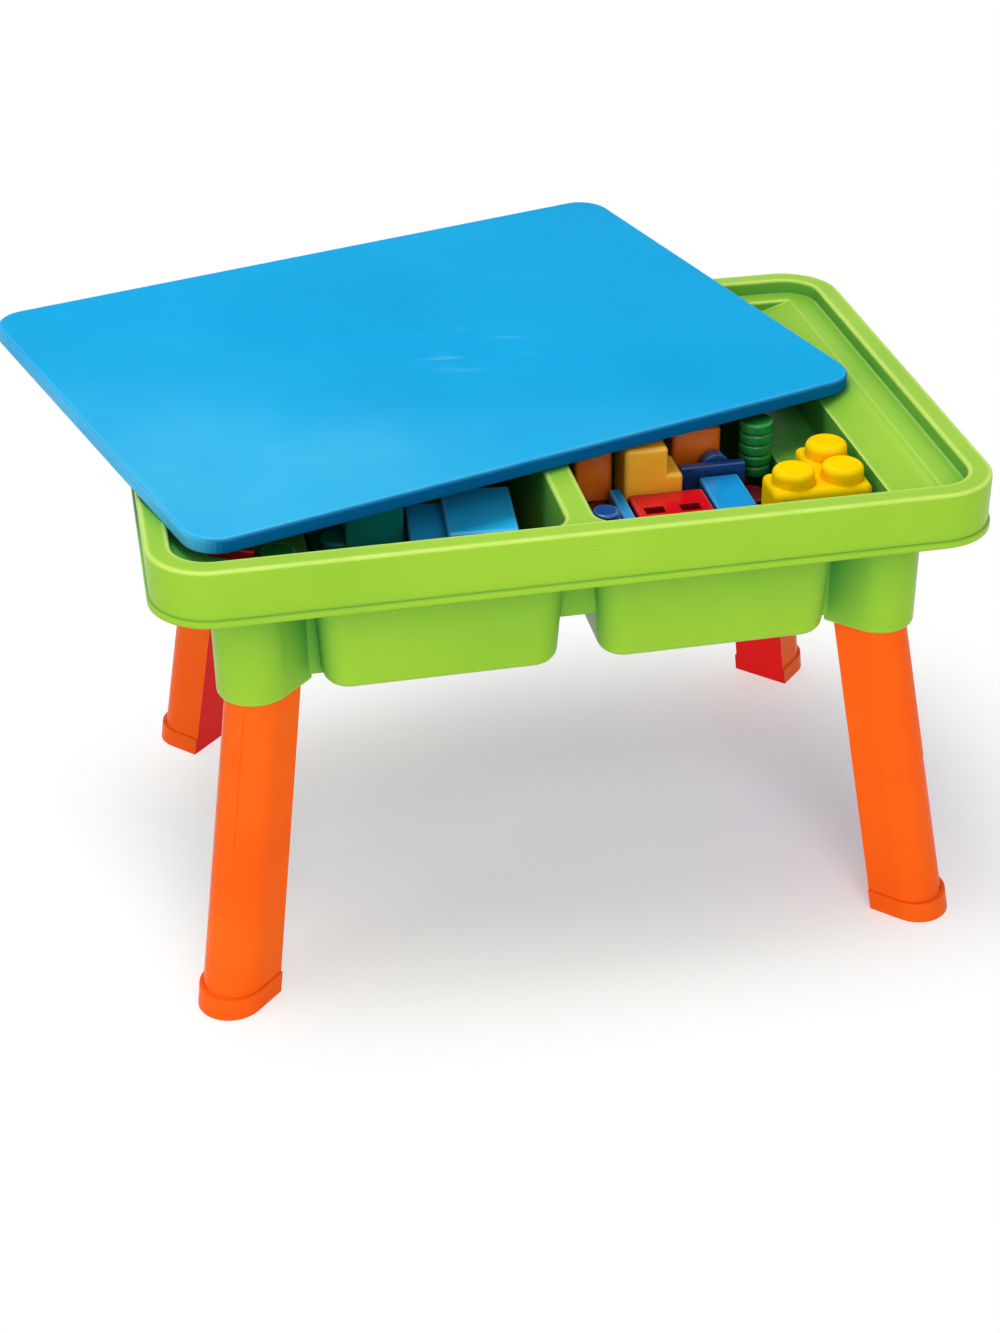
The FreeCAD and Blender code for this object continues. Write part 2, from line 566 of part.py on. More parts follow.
# The inner edge of a step stays sharp, so that every round has room.
def at_corner(line, corner):
    middle = line.BoundBox.Center
    return corner is not None and abs(middle.x - corner[0]) < 0.01 and abs(middle.z - corner[1]) < 0.01


# A bar on edge with one wheel on a stub axle behind it, level with its neighbours' studs.
# Sizes are in stud spacings.
def wheel_bar(label, unit, bar, wheel, offset):
    length, width, high = [share * unit for share in bar]
    radius, thick = [share * unit for share in wheel]
    near = width / 2 + size("block_play")
    rail = plate(label + "_rail", str(length), str(width), "0", str(high))
    pieces = [rounded(label + "_rail_round", rail, size("block_edge") / 2, lambda line: line.BoundBox.ZMax > 0.1)]
    for name, round_by, run in (("axle", radius / 3, near + thick), ("wheel", radius, thick)):
        item = make("Part::Cylinder", "%s_%s" % (label, name), {
            "Radius": str(round_by), "Height": str(run), "Placement.Base.x": str(offset * unit),
            "Placement.Base.y": str(near + thick), "Placement.Base.z": "stud_height + %s" % radius})
        item.Placement.Rotation = FreeCAD.Rotation(FreeCAD.Vector(1, 0, 0), 90)
        pieces.append(item)
    pieces[-1] = rounded(label + "_tyre", pieces[-1], size("block_edge") / 2, lambda line: line.BoundBox.YLength < 0.1)
    item = join(label, pieces)
    item.Label = label
    return item


# An upright column of rounded rings on a thinner core. Sizes are in stud spacings.
def ribbed_column(label, unit, radius, pitch, rings):
    core = make("Part::Cylinder", label + "_core", {
        "Radius": "%s - block_wall" % (radius * unit), "Height": str((rings - 0.5) * pitch * unit)})
    pieces = [core]
    for number in range(rings):
        ring = make("Part::Cylinder", "%s_ring_%d" % (label, number), {
            "Radius": str(radius * unit), "Height": "%s - block_play" % (pitch * unit),
            "Placement.Base.z": str(number * pitch * unit)})
        pieces.append(rounded(ring.Name + "_round", ring, size("block_edge"), lambda line: line.BoundBox.ZLength < 0.1))
    item = join(label, pieces)
    item.Label = label
    return item


# Where a block lies: column counts stud spacings from the divider (on a shelf from the end of the bin,
# on a slope from its foot), row counts them from the front.
def put(item, side, unit, column, row, ground, turn=0):
    grounds = {
        "floor": FLOOR,
        "deck": "%s + 2 * block_height" % FLOOR,
        "studs": "%s + 2 * block_height + stud_height" % FLOOR,
        "shelf": SHELF,
        "slope": "%s + %s * slope_drop / slope_run + block_play / 4" % (SLOPE_FOOT, column * unit),
    }
    starts = {"shelf": BIN_END, "slope": SHELF_END}
    start = starts.get(ground, "(%s + divider_draft + bin_foot)" % BIN_START)
    item.Placement.Rotation = FreeCAD.Rotation(FreeCAD.Vector(0, 0, 1), turn)
    if ground == "slope":
        lean = -side * math.degrees(math.atan(size("slope_drop") / size("slope_run")))
        item.Placement.Rotation = FreeCAD.Rotation(FreeCAD.Vector(0, 1, 0), lean)
    return bind(item, {
        "Placement.Base.x": "%d * (%s + %s)" % (side, start, column * unit),
        "Placement.Base.y": "%s + block_margin + bin_draft - %s" % (row * unit, OPEN_Y),
        "Placement.Base.z": grounds[ground]})


def blocks():
    unit, shelf = units()
    made = []
    for side, where in ((1, "right"), (-1, "left")):
        for column, inner in ((1, "inner"), (3, "outer")):
            brick = block("brick_%s_%s" % (where, inner), unit, (2, 4), 2, (2, 4))
            made.append(put(brick, side, unit, column, 2, "floor"))
    yellow = block("block_yellow_corner", shelf, (2, 2), 1, (2, 2), edge=2, notch=True, stud_share=0.83)
    made.append(put(yellow, 1, shelf, 0.067, 1.517, "shelf"))
    panes = [(-0.39, -0.1, 0.39, 0.26), (0.31, -0.1, 0.39, 0.26)]
    red = block("block_red_window", unit, (1.51, 1.25), 0.45, windows=panes, solid=True)
    made.append(put(red, 1, unit, 1.702, 1.75, "studs"))
    made.append(put(block("block_blue_slab", unit, (0.82, 1.71), 0.45, solid=True), 1, unit, 2.9, 1.98, "studs"))
    made.append(put(block("block_blue_strip", unit, (0.26, 1.59), 0.45, solid=True), 1, unit, 0.779, 1.916, "studs"))
    small = shelf * 0.77
    navy = block("block_navy_plate", small, (1, 2), 0.45, (1, 2), solid=True)
    made.append(put(navy, 1, small, 0.355, 1.268, "studs"))
    amber = block("block_yellow_step", unit, (1.18, 0.93), 1.85, edge=1.5, step=(0.31, 0.91), solid=True)
    made.append(put(amber, 1, unit, 1.5, 2.879, "studs"))
    near = block("block_orange_near", unit, (0.77, 0.93), 1.6, edge=1.5, solid=True)
    made.append(put(near, 1, unit, 0.392, 3.266, "studs"))
    far = block("block_orange_far", unit, (1, 0.78), 1.6, edge=1.5, solid=True)
    made.append(put(far, 1, unit, 2.624, 3.79, "studs"))
    made.append(put(ribbed_column("column_green_ribbed", unit, 0.339, 0.232, 5), 1, unit, 3.813, 3.387, "studs"))
    wheel = wheel_bar("wheel_bar", unit, (1.32, 0.19, 0.755), (0.294, 0.26), 0.113)
    made.append(put(wheel, 1, unit, 2.823, 3, "deck"))
    sky = block("block_sky_step", unit, (2.02, 1.82), 1, step=(0.684, 0.4), solid=True)
    made.append(put(sky, -1, unit, 1.252, 1.781, "studs", 175))
    made.append(put(block("block_teal", unit, (1.13, 1.82), 1.2, solid=True), -1, unit, 2.855, 2.87, "studs"))
    made.append(put(block("block_green_single", shelf, (1, 1), 0.55, (1, 1)), -1, shelf, 0.617, 0.367, "shelf"))
    made.append(put(block("block_red_single", shelf, (0.85, 0.8), 0.35, solid=True), -1, shelf, 0.37, 0.233, "slope"))
    return made


pieces = [tray(), lid()]
pieces += [leg(corner) for corner in CORNERS]
pieces += [foot(corner) for corner in CORNERS]
pieces += blocks()
doc.recompute()

for item in doc.Objects:
    if "Invalid" in item.State or "Error" in item.State:
        raise RuntimeError("%s did not compute" % item.Name)
os.makedirs("parts", exist_ok=True)
for item in pieces:
    if item.Shape.isNull() or not item.Shape.isValid():
        raise RuntimeError("%s has no valid shape" % item.Label)
    item.Shape.exportStep("parts/%s.step" % item.Label)
    print("%-20s %9.0f mm3, %d solid" % (item.Label, item.Shape.Volume, len(item.Shape.Solids)))
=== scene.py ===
import bpy
import bmesh
import json
import math
from mathutils import Matrix, Vector


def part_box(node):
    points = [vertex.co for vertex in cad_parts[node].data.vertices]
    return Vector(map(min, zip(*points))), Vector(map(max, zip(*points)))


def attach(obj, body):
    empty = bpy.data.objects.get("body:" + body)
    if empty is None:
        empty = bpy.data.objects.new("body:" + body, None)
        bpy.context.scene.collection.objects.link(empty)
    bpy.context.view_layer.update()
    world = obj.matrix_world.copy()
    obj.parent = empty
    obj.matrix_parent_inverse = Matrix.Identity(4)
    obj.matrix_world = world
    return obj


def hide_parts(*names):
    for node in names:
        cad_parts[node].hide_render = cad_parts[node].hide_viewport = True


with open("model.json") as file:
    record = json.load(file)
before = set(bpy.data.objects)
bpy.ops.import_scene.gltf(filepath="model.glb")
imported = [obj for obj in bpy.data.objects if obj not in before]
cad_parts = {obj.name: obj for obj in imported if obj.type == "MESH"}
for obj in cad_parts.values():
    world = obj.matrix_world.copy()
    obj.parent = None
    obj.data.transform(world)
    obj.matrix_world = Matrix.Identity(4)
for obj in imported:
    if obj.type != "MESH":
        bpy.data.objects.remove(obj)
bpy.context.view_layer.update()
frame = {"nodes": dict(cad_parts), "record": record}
nodes = frame["nodes"]
slotOf = {part["node"]: part["material_slot"] for part in frame["record"]["subparts"]}
bodyOf = {node: body for body, held in frame["record"]["behaviour"]["bodies"].items() for node in held}
print("frame loaded:", len(nodes), "nodes")


def linear(rgb):  # colours below are written as seen, 0 to 255, and go through the sRGB curve
    return tuple((c / 255 / 12.92) if c <= 10 else ((c / 255 + 0.055) / 1.055) ** 2.4 for c in rgb) + (1.0,)


def portion(value, start, end):  # 0 at start, 1 at end
    return min(1.0, max(0.0, (value - start) / (end - start)))


# camera: place and focal length fitted to the table's straight edges
view = {"place": (-0.25742, -1.21172, 0.87526), "azimuth": 12.551, "down": 31.521, "focalPixels": 2246.6,
        "imageHeight": 1333, "imageWidth": 1000, "opticalColumn": 550.28, "sensor": 36, "farthest": 50}


def addCamera():
    turn, dip = math.radians(view["azimuth"]), math.radians(view["down"])
    ahead = Vector((math.sin(turn) * math.cos(dip), math.cos(turn) * math.cos(dip), -math.sin(dip)))
    right = Vector((math.cos(turn), -math.sin(turn), 0))
    up = right.cross(ahead)
    lens = bpy.data.cameras.new("camera")
    lens.sensor_fit = "VERTICAL"
    lens.sensor_height = view["sensor"]
    lens.lens = view["sensor"] * view["focalPixels"] / view["imageHeight"]
    lens.shift_x = (view["imageWidth"] / 2 - view["opticalColumn"]) / view["imageHeight"]
    lens.clip_end = view["farthest"]
    camera = bpy.data.objects.new("camera", lens)
    bpy.context.collection.objects.link(camera)
    camera.matrix_world = Matrix((
        (right.x, up.x, -ahead.x, view["place"][0]),
        (right.y, up.y, -ahead.y, view["place"][1]),
        (right.z, up.z, -ahead.z, view["place"][2]),
        (0, 0, 0, 1)))
    bpy.context.scene.camera = camera


addCamera()
bpy.context.scene.view_settings.view_transform = "Standard"
print("camera set")


# node helpers: wherever a value is asked for, a socket may stand in its place
def wire(tree, source, target):
    if isinstance(source, bpy.types.NodeSocket):
        tree.links.new(source, target)
    else:
        target.default_value = source


def addNode(tree, kind, **settings):
    node = tree.nodes.new(kind)
    for key, value in settings.items():
        setattr(node, key, value)
    return node


def nodeOf(tree, kind):
    return next(node for node in tree.nodes if node.type == kind)


def setInputs(node, values):
    for key, value in values.items():
        node.inputs[key].default_value = value


def mapRange(tree, source, low, high, toLow=0.0, toHigh=1.0, smooth=False):
    node = addNode(tree, "ShaderNodeMapRange", interpolation_type="SMOOTHSTEP" if smooth else "LINEAR")
    for key, value in (("Value", source), ("From Min", low), ("From Max", high), ("To Min", toLow), ("To Max", toHigh)):
        wire(tree, value, node.inputs[key])
    return node.outputs[0]


def mixColour(tree, factor, first, second):
    node = addNode(tree, "ShaderNodeMix", data_type="RGBA")
    for index, value in ((0, factor), (6, first), (7, second)):  # the node's sockets for colours
        wire(tree, value, node.inputs[index])
    return node.outputs[2]


def mixShader(tree, factor, first, second):
    node = addNode(tree, "ShaderNodeMixShader")
    for socket, value in zip(node.inputs, (factor, first.outputs[0], second.outputs[0])):
        wire(tree, value, socket)
    return node


def math2(tree, operation, first, second):
    node = addNode(tree, "ShaderNodeMath", operation=operation)
    for socket, value in zip(node.inputs, (first, second)):
        wire(tree, value, socket)
    return node.outputs[0]


def times(tree, first, *others):
    for other in others:
        first = math2(tree, "MULTIPLY", first, other)
    return first


def vector2(tree, operation, *values):
    node = addNode(tree, "ShaderNodeVectorMath", operation=operation)
    for socket, value in zip(node.inputs, values):
        wire(tree, value, socket)
    return node.outputs["Value" if operation in ("DOT_PRODUCT", "DISTANCE", "LENGTH") else "Vector"]


def noise(tree, where, scale, detail):
    node = addNode(tree, "ShaderNodeTexNoise")
    for key, value in (("Vector", where), ("Scale", scale), ("Detail", detail)):
        wire(tree, value, node.inputs[key])
    return node.outputs["Fac"]


def stretched(tree, where, turn, scale):
    node = addNode(tree, "ShaderNodeMapping")
    for key, value in (("Vector", where), ("Rotation", turn), ("Scale", scale)):
        wire(tree, value, node.inputs[key])
    return node.outputs["Vector"]


def attribute(tree, name):
    return addNode(tree, "ShaderNodeAttribute", attribute_name=name).outputs["Fac"]


def objectPlace(tree):
    return addNode(tree, "ShaderNodeTexCoord").outputs["Object"]


def newGroup(name, kind, inputs, outputs):
    tree = bpy.data.node_groups.new(name, kind)
    for way, sockets in (("INPUT", inputs), ("OUTPUT", outputs)):
        for label, socketKind in sockets.items():
            tree.interface.new_socket(label, in_out=way, socket_type="NodeSocket" + socketKind)
    return tree, addNode(tree, "NodeGroupInput"), addNode(tree, "NodeGroupOutput")


# moulded plastic: cloudy colour, rounded edges paler from rubbing and from painted highlight, short scuffs, a fine skin
# and softened edges
moulding = {"cloudDetail": 4, "cloudBand": (0.35, 0.7), "grainDetail": 2, "grainShare": 0.4, "glossBand": (0.4, 1.0),
            "edgeScale": 55.0, "edgeDetail": 3, "edgeBand": (0.3, 0.62), "edgeLeast": 0.45,
            "scuffTurn": (0.2, 0.3, 0.7), "scuffStretch": (40, 420, 420), "scuffDetail": 2, "scuffBand": (0.66, 0.76),
            "patchScale": 14.0, "patchDetail": 2, "patchBand": (0.5, 0.66),
            "scuffPale": 0.5, "scuffRough": 0.25, "scuffDepth": 0.6, "softSamples": 4}


def mouldedSkin():
    look = moulding
    tree, given, out = newGroup(
        "mouldedSkin", "ShaderNodeTree",
        {"Colour": "Color", "Deep": "Color", "Pale Wear And Highlight": "Color", "Mottle": "Float", "Grain": "Float", "Edge Wear And Highlight": "Float",
         "Scuffs": "Float", "Gloss Low": "Float", "Gloss High": "Float", "Softness": "Float"},
        {"Colour": "Color", "Roughness": "Float", "Height": "Float", "Normal": "Vector"})
    where = objectPlace(tree)
    cloud = noise(tree, where, given.outputs["Mottle"], look["cloudDetail"])
    grain = noise(tree, where, given.outputs["Grain"], look["grainDetail"])
    body = mixColour(tree, mapRange(tree, cloud, *look["cloudBand"]), given.outputs["Colour"], given.outputs["Deep"])
    # rounded edges carry the attribute roundEdge and turn paler there, from rubbing and as painted highlight, broken up
    # by a finer noise
    patches = noise(tree, where, look["edgeScale"], look["edgeDetail"])
    patches = mapRange(tree, patches, *look["edgeBand"], look["edgeLeast"], 1.0)
    paleWearAndHighlight = times(tree, attribute(tree, "roundEdge"), patches, given.outputs["Edge Wear And Highlight"])
    body = mixColour(tree, paleWearAndHighlight, body, given.outputs["Pale Wear And Highlight"])
    # short scuffs, drawn out by a stretched noise
    drawn = stretched(tree, where, look["scuffTurn"], look["scuffStretch"])
    lines = mapRange(tree, noise(tree, drawn, 1.0, look["scuffDetail"]), *look["scuffBand"])
    patch = mapRange(tree, noise(tree, where, look["patchScale"], look["patchDetail"]), *look["patchBand"])
    scuff = times(tree, lines, patch, given.outputs["Scuffs"])
    body = mixColour(tree, times(tree, scuff, look["scuffPale"]), body, given.outputs["Pale Wear And Highlight"])
    mixed = math2(tree, "ADD", times(tree, grain, look["grainShare"]), cloud)
    gloss = mapRange(tree, mixed, *look["glossBand"], given.outputs["Gloss Low"], given.outputs["Gloss High"])
    rounding = addNode(tree, "ShaderNodeBevel", samples=look["softSamples"])
    wire(tree, given.outputs["Softness"], rounding.inputs["Radius"])
    wire(tree, body, out.inputs["Colour"])
    wire(tree, math2(tree, "ADD", gloss, times(tree, scuff, look["scuffRough"])), out.inputs["Roughness"])
    wire(tree, math2(tree, "SUBTRACT", grain, times(tree, scuff, look["scuffDepth"])), out.inputs["Height"])
    wire(tree, rounding.outputs["Normal"], out.inputs["Normal"])
    return tree


# painted shade: the colour turns towards a shade colour where walls stand close together
hollow = {"samples": 4, "deepest": 0.9}


def paintedHollowShade():
    tree, given, out = newGroup(
        "paintedHollowShade", "ShaderNodeTree",
        {"Colour": "Color", "Shade": "Color", "Reach": "Float", "Closed": "Float", "Open": "Float"},
        {"Colour": "Color", "Openness": "Float"})
    corner = addNode(tree, "ShaderNodeAmbientOcclusion", samples=hollow["samples"])
    wire(tree, given.outputs["Reach"], corner.inputs["Distance"])
    openness = corner.outputs["AO"]
    closeness = mapRange(tree, openness, given.outputs["Closed"], given.outputs["Open"], hollow["deepest"], 0.0)
    wire(tree, mixColour(tree, closeness, given.outputs["Colour"], given.outputs["Shade"]), out.inputs["Colour"])
    wire(tree, openness, out.inputs["Openness"])
    return tree


skin, hollows = mouldedSkin(), paintedHollowShade()


# painted highlights, with some rubbing: pale lines along upper edges that face the open, where a wide bevel would turn
# the skin
edging = {"samples": 6, "turnedBand": (0.965, 0.999), "upwardBand": (0.2, 0.6), "openBand": (0.4, 0.65)}


def paintedEdgeHighlights(tree, openness, reach):  # 1 on outer edges that look up, 0 in hollows and on flats
    wide = addNode(tree, "ShaderNodeBevel", samples=edging["samples"])
    wire(tree, reach, wide.inputs["Radius"])
    surface = addNode(tree, "ShaderNodeNewGeometry").outputs["Normal"]
    likeness = vector2(tree, "DOT_PRODUCT", wide.outputs["Normal"], surface)
    turned = mapRange(tree, likeness, *edging["turnedBand"], 1.0, 0.0)
    rise = addNode(tree, "ShaderNodeSeparateXYZ")
    wire(tree, surface, rise.inputs[0])
    upward = mapRange(tree, rise.outputs["Z"], *edging["upwardBand"])
    free = mapRange(tree, openness, *edging["openBand"])
    return times(tree, turned, upward, free, attribute(tree, "paleEdgeZone"))


# what all the plastics share
resin = {"grain": 900, "bump": 0.03, "bumpDepth": 0.001, "refraction": 1.48, "coatRoughness": 0.12}


def plastic(name, colour, deep, paleWearAndHighlight, mottle, edgeWearAndHighlight, scuffs, gloss, specular, coat=0.0, glow=0.0,
            glowReach=(1.0, 0.3, 0.1), glowDepth=0.003, sideShade=None, sheenAndMarks=None, shade=None, shadeReach=0.0,
            shadeBand=(0.25, 0.85), soft=0.0012, edgeHighlight=0.0, edgeHighlightReach=0.0):
    made = bpy.data.materials.new(name)
    made.use_nodes = True
    tree = made.node_tree
    shader = nodeOf(tree, "BSDF_PRINCIPLED")
    group = addNode(tree, "ShaderNodeGroup", node_tree=skin)
    setInputs(group, {"Pale Wear And Highlight": linear(paleWearAndHighlight), "Mottle": mottle, "Grain": resin["grain"], "Edge Wear And Highlight": edgeWearAndHighlight,
                      "Scuffs": scuffs, "Gloss Low": gloss[0], "Gloss High": gloss[1], "Softness": soft})
    for key, value in (("Colour", linear(colour)), ("Deep", linear(deep))):
        if sheenAndMarks:
            value = sheenAndMarks(tree, value)
        # the second colour is painted shade on sides: the lid's rim and the legs' inner flats
        if sideShade:  # a second colour where the piece's own attribute says so
            value = mixColour(tree, attribute(tree, sideShade["attribute"]), value, linear(sideShade["colour"]))
        wire(tree, value, group.inputs[key])
    skinColour = group.outputs["Colour"]
    # painted shade in hollows
    if shade:
        corner = addNode(tree, "ShaderNodeGroup", node_tree=hollows)
        setInputs(corner, {"Shade": linear(shade), "Reach": shadeReach, "Closed": shadeBand[0], "Open": shadeBand[1]})
        wire(tree, skinColour, corner.inputs["Colour"])
        skinColour = corner.outputs["Colour"]
    # painted highlights on upper edges, with some rubbing
    if edgeHighlight:
        edges = paintedEdgeHighlights(tree, corner.outputs["Openness"], edgeHighlightReach)
        skinColour = mixColour(tree, times(tree, edges, edgeHighlight), skinColour, linear(paleWearAndHighlight))
    relief = addNode(tree, "ShaderNodeBump")
    setInputs(relief, {"Strength": resin["bump"], "Distance": resin["bumpDepth"]})
    wire(tree, group.outputs["Height"], relief.inputs["Height"])
    wire(tree, group.outputs["Normal"], relief.inputs["Normal"])
    wire(tree, skinColour, shader.inputs["Base Color"])
    wire(tree, group.outputs["Roughness"], shader.inputs["Roughness"])
    wire(tree, relief.outputs["Normal"], shader.inputs["Normal"])
    setInputs(shader, {"IOR": resin["refraction"], "Specular IOR Level": specular, "Coat Weight": coat,
                       "Coat Roughness": resin["coatRoughness"], "Subsurface Weight": glow,
                       "Subsurface Radius": glowReach, "Subsurface Scale": glowDepth})
    return made


# the lid's painted sheen, paler towards its front left; a few scratches drawn as pale highlight streaks; and specks
lidSheenAndMarks = {"middle": (-0.053, 0.071, 0.0), "towards": (-0.35, -0.94, 0.0), "from": 0.0, "to": 0.17,
        "sheen": (78, 188, 228), "sheenShare": 0.5,
        "cloudScale": 9.0, "cloudDetail": 3, "cloudBand": (0.34, 0.66), "cloudLeast": 0.35,
        "streaks": (-0.016, 0.06, 0.0), "streakReach": 0.06, "streakTurn": 12.5, "streakStretch": (16, 75, 1),
        "streakDetail": 2, "streakBand": (0.58, 0.72), "streak": (150, 218, 246),
        "speckScale": 170.0, "speckDetail": 1, "speckBand": (0.79, 0.83), "speckShare": 0.3, "paleShare": 0.35}


def paintedSheenAndMarks(tree, colour):
    where = objectPlace(tree)
    flat = vector2(tree, "MULTIPLY", where, (1, 1, 0))
    along = vector2(tree, "DOT_PRODUCT", vector2(tree, "SUBTRACT", flat, lidSheenAndMarks["middle"]), lidSheenAndMarks["towards"])
    reach = mapRange(tree, along, lidSheenAndMarks["from"], lidSheenAndMarks["to"], smooth=True)
    clouds = noise(tree, where, lidSheenAndMarks["cloudScale"], lidSheenAndMarks["cloudDetail"])
    clouds = mapRange(tree, clouds, *lidSheenAndMarks["cloudBand"], lidSheenAndMarks["cloudLeast"], 1.0)
    colour = mixColour(tree, times(tree, reach, clouds, lidSheenAndMarks["sheenShare"]), colour, linear(lidSheenAndMarks["sheen"]))
    near = vector2(tree, "DISTANCE", flat, lidSheenAndMarks["streaks"])
    spot = mapRange(tree, near, 0.0, lidSheenAndMarks["streakReach"], 1.0, 0.0, smooth=True)
    drawn = stretched(tree, flat, (0, 0, math.radians(lidSheenAndMarks["streakTurn"])), lidSheenAndMarks["streakStretch"])
    lines = mapRange(tree, noise(tree, drawn, 1.0, lidSheenAndMarks["streakDetail"]), *lidSheenAndMarks["streakBand"])
    specks = noise(tree, where, lidSheenAndMarks["speckScale"], lidSheenAndMarks["speckDetail"])
    specks = mapRange(tree, specks, *lidSheenAndMarks["speckBand"], 0.0, lidSheenAndMarks["speckShare"])
    pale = math2(tree, "MAXIMUM", times(tree, spot, lines), specks)
    return mixColour(tree, times(tree, pale, lidSheenAndMarks["paleShare"]), colour, linear(lidSheenAndMarks["streak"]))


# glossy plastic of the blocks, with painted shade in hollows, half as bright there unless a shade colour is given
toy = {"mottle": 30, "edgeWearAndHighlight": 0.3, "scuffs": 0.25, "gloss": (0.14, 0.24), "shadeReach": 0.02}
paintedShadeFactor = 0.5


def toyPlastic(name, colour, deep, paleWearAndHighlight, shade=None, coat=0.15, specular=0.2, **more):
    shade = shade or tuple(c * paintedShadeFactor for c in deep)
    return plastic(name, colour, deep, paleWearAndHighlight, specular=specular, coat=coat, shade=shade, **toy, **more)


finishes = {
    # tray: painted shade in its hollows, painted highlights on its upper edges
    "tray_green": plastic("limePlastic", (154, 199, 52), (143, 191, 48), (214, 234, 126), mottle=9, edgeWearAndHighlight=0.5,
                          scuffs=0.12, gloss=(0.25, 0.36), specular=0.1, glow=0.12, glowReach=(0.4, 1.0, 0.2),
                          shade=(50, 150, 68), shadeReach=0.12, shadeBand=(0.3, 0.97), soft=0.0018,
                          edgeHighlight=0.75, edgeHighlightReach=0.004),
    # lid: painted shade on its sides, painted highlight on its left side, painted sheen towards its front left
    "lid_blue": plastic("bluePanel", (0, 162, 218), (0, 153, 210), (128, 204, 236), mottle=7, edgeWearAndHighlight=0.5, scuffs=0.3,
                        gloss=(0.4, 0.52), specular=0.04, sheenAndMarks=paintedSheenAndMarks,
                        sideShade={"attribute": "paintedSideShade", "colour": (0, 100, 162)}),
    # legs: a deeper red painted as shade on their inner flats
    "leg_orange": plastic("orangePlastic", (253, 104, 22), (251, 91, 19), (255, 170, 90), mottle=14, edgeWearAndHighlight=0.3,
                          scuffs=0.04, gloss=(0.22, 0.33), specular=0.04, glow=0.2, glowReach=(1.0, 0.22, 0.08),
                          glowDepth=0.004, soft=0.0004, sideShade={"attribute": "innerFlatShade", "colour": (255, 34, 38)}),
    # blocks: each shade colour is painted shade in their hollows
    "toy_yellow": toyPlastic("yellowToy", (255, 208, 0), (255, 196, 0), (255, 228, 60), shade=(255, 182, 0),
                             coat=0.0, specular=0.0, glow=0.3, glowReach=(1.0, 0.6, 0.1), soft=0.0035),
    "toy_amber": toyPlastic("amberToy", (255, 200, 60), (255, 186, 48), (255, 218, 120), shade=(255, 162, 36)),
    "toy_red": toyPlastic("redToy", (226, 18, 32), (208, 12, 26), (245, 110, 110)),
    "toy_blue": toyPlastic("blueToy", (30, 158, 230), (24, 146, 218), (130, 200, 240)),
    "toy_navy": toyPlastic("navyToy", (32, 88, 162), (24, 70, 140), (120, 156, 210), coat=0.4),
    "toy_orange": toyPlastic("orangeToy", (240, 120, 30), (224, 104, 22), (255, 176, 100), shade=(150, 66, 16)),
    "toy_green": toyPlastic("greenToy", (30, 138, 62), (16, 116, 48), (130, 204, 140), coat=0.3),
    "toy_sky": toyPlastic("skyToy", (42, 192, 252), (34, 180, 244), (130, 210, 242), shade=(22, 140, 204)),
    "toy_teal": toyPlastic("tealToy", (20, 150, 138), (14, 134, 122), (100, 186, 170), shade=(12, 104, 98)),
}
# the hidden bricks under the right heap, dark red as painted shade seen through the red block's windows
paintedShadeLayer = toyPlastic("shadeDarkRedToy", (104, 10, 24), (84, 6, 18), (160, 60, 70))
finishOf = {"brick_right_inner": paintedShadeLayer, "brick_right_outer": paintedShadeLayer}
print("finishes made:", len(finishes))


# dressed copies of the solids: merged skin, soft shading and the attributes the finishes read
dressing = {"weld": 1e-5, "shortest": 1e-7, "narrowest": 1e-6, "leastBend": 0.02, "mostBend": 0.8,
            "flattest": 110.0, "roundest": 330.0, "sideEdgeShare": 0.1, "topFrom": 0.285, "inside": (0.228, 0.158),
            "levelFrom": 0.9, "lidSide": (0.93, 0.63), "lidLeft": (-0.94, -0.33, 0.0), "leftBand": (0.3, 0.9),
            "lidRound": 0.35, "lidLeftHighlight": 0.55, "inwardFrom": 0.9, "sharpAngle": 32, "normalWeight": 100}


def edgeCurve(edge):  # how tightly the skin turns over an edge, per metre, above zero where it bulges
    if len(edge.link_faces) != 2 or edge.calc_length() < dressing["shortest"]:
        return 0.0
    bend = edge.calc_face_angle_signed(0.0)
    if not dressing["leastBend"] < bend < dressing["mostBend"]:
        return 0.0
    width = sum(face.calc_area() for face in edge.link_faces) / edge.calc_length()
    return bend / max(width, dressing["narrowest"])


def markRounds(work):  # paler rounded edges: rubbing, and painted highlight weighted towards edges that face up
    curve = {edge.index: edgeCurve(edge) for edge in work.edges}
    tightest = [max(curve[edge.index] for edge in face.edges) for face in work.faces]
    tight = [portion(most, dressing["flattest"], dressing["roundest"]) for most in tightest]
    least = dressing["sideEdgeShare"]
    upward = [least + (1 - least) * max(0.0, face.normal.z) for face in work.faces]
    return [a * b for a, b in zip(tight, upward)]


def markPaleEdgeZone(work):  # the tray's top and its inside, where hands and the lid reach: its pale edges there show rubbing and painted highlight
    reach = dressing["inside"]
    spots = [face.calc_center_median() for face in work.faces]
    return [1.0 if p.z > dressing["topFrom"] or (abs(p.x) < reach[0] and abs(p.y) < reach[1]) else 0.0 for p in spots]


def markPaintedSideShade(work):  # painted shade on the lid's rim and underside, left off its left side, which gets a painted highlight instead
    level = (f.normal * f.calc_area() for f in work.faces if f.normal.z > dressing["levelFrom"])
    up = sum(level, Vector()).normalized()
    left = Vector(dressing["lidLeft"]).normalized()
    sides = [portion(face.normal.dot(up), *dressing["lidSide"]) for face in work.faces]
    leftness = [portion(face.normal.dot(left), *dressing["leftBand"]) for face in work.faces]
    return [a * (1 - b) for a, b in zip(sides, leftness)], leftness


def markInnerFlatShade(work, node):  # a leg's flat side looks in along the diagonal; it gets a deeper red there as painted shade
    low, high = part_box(node)
    middle = (low + high) / 2
    inward = Vector((-middle.x / abs(middle.x), -middle.y / abs(middle.y), 0)).normalized()
    return [1.0 if face.normal.dot(inward) > dressing["inwardFrom"] else 0.0 for face in work.faces]


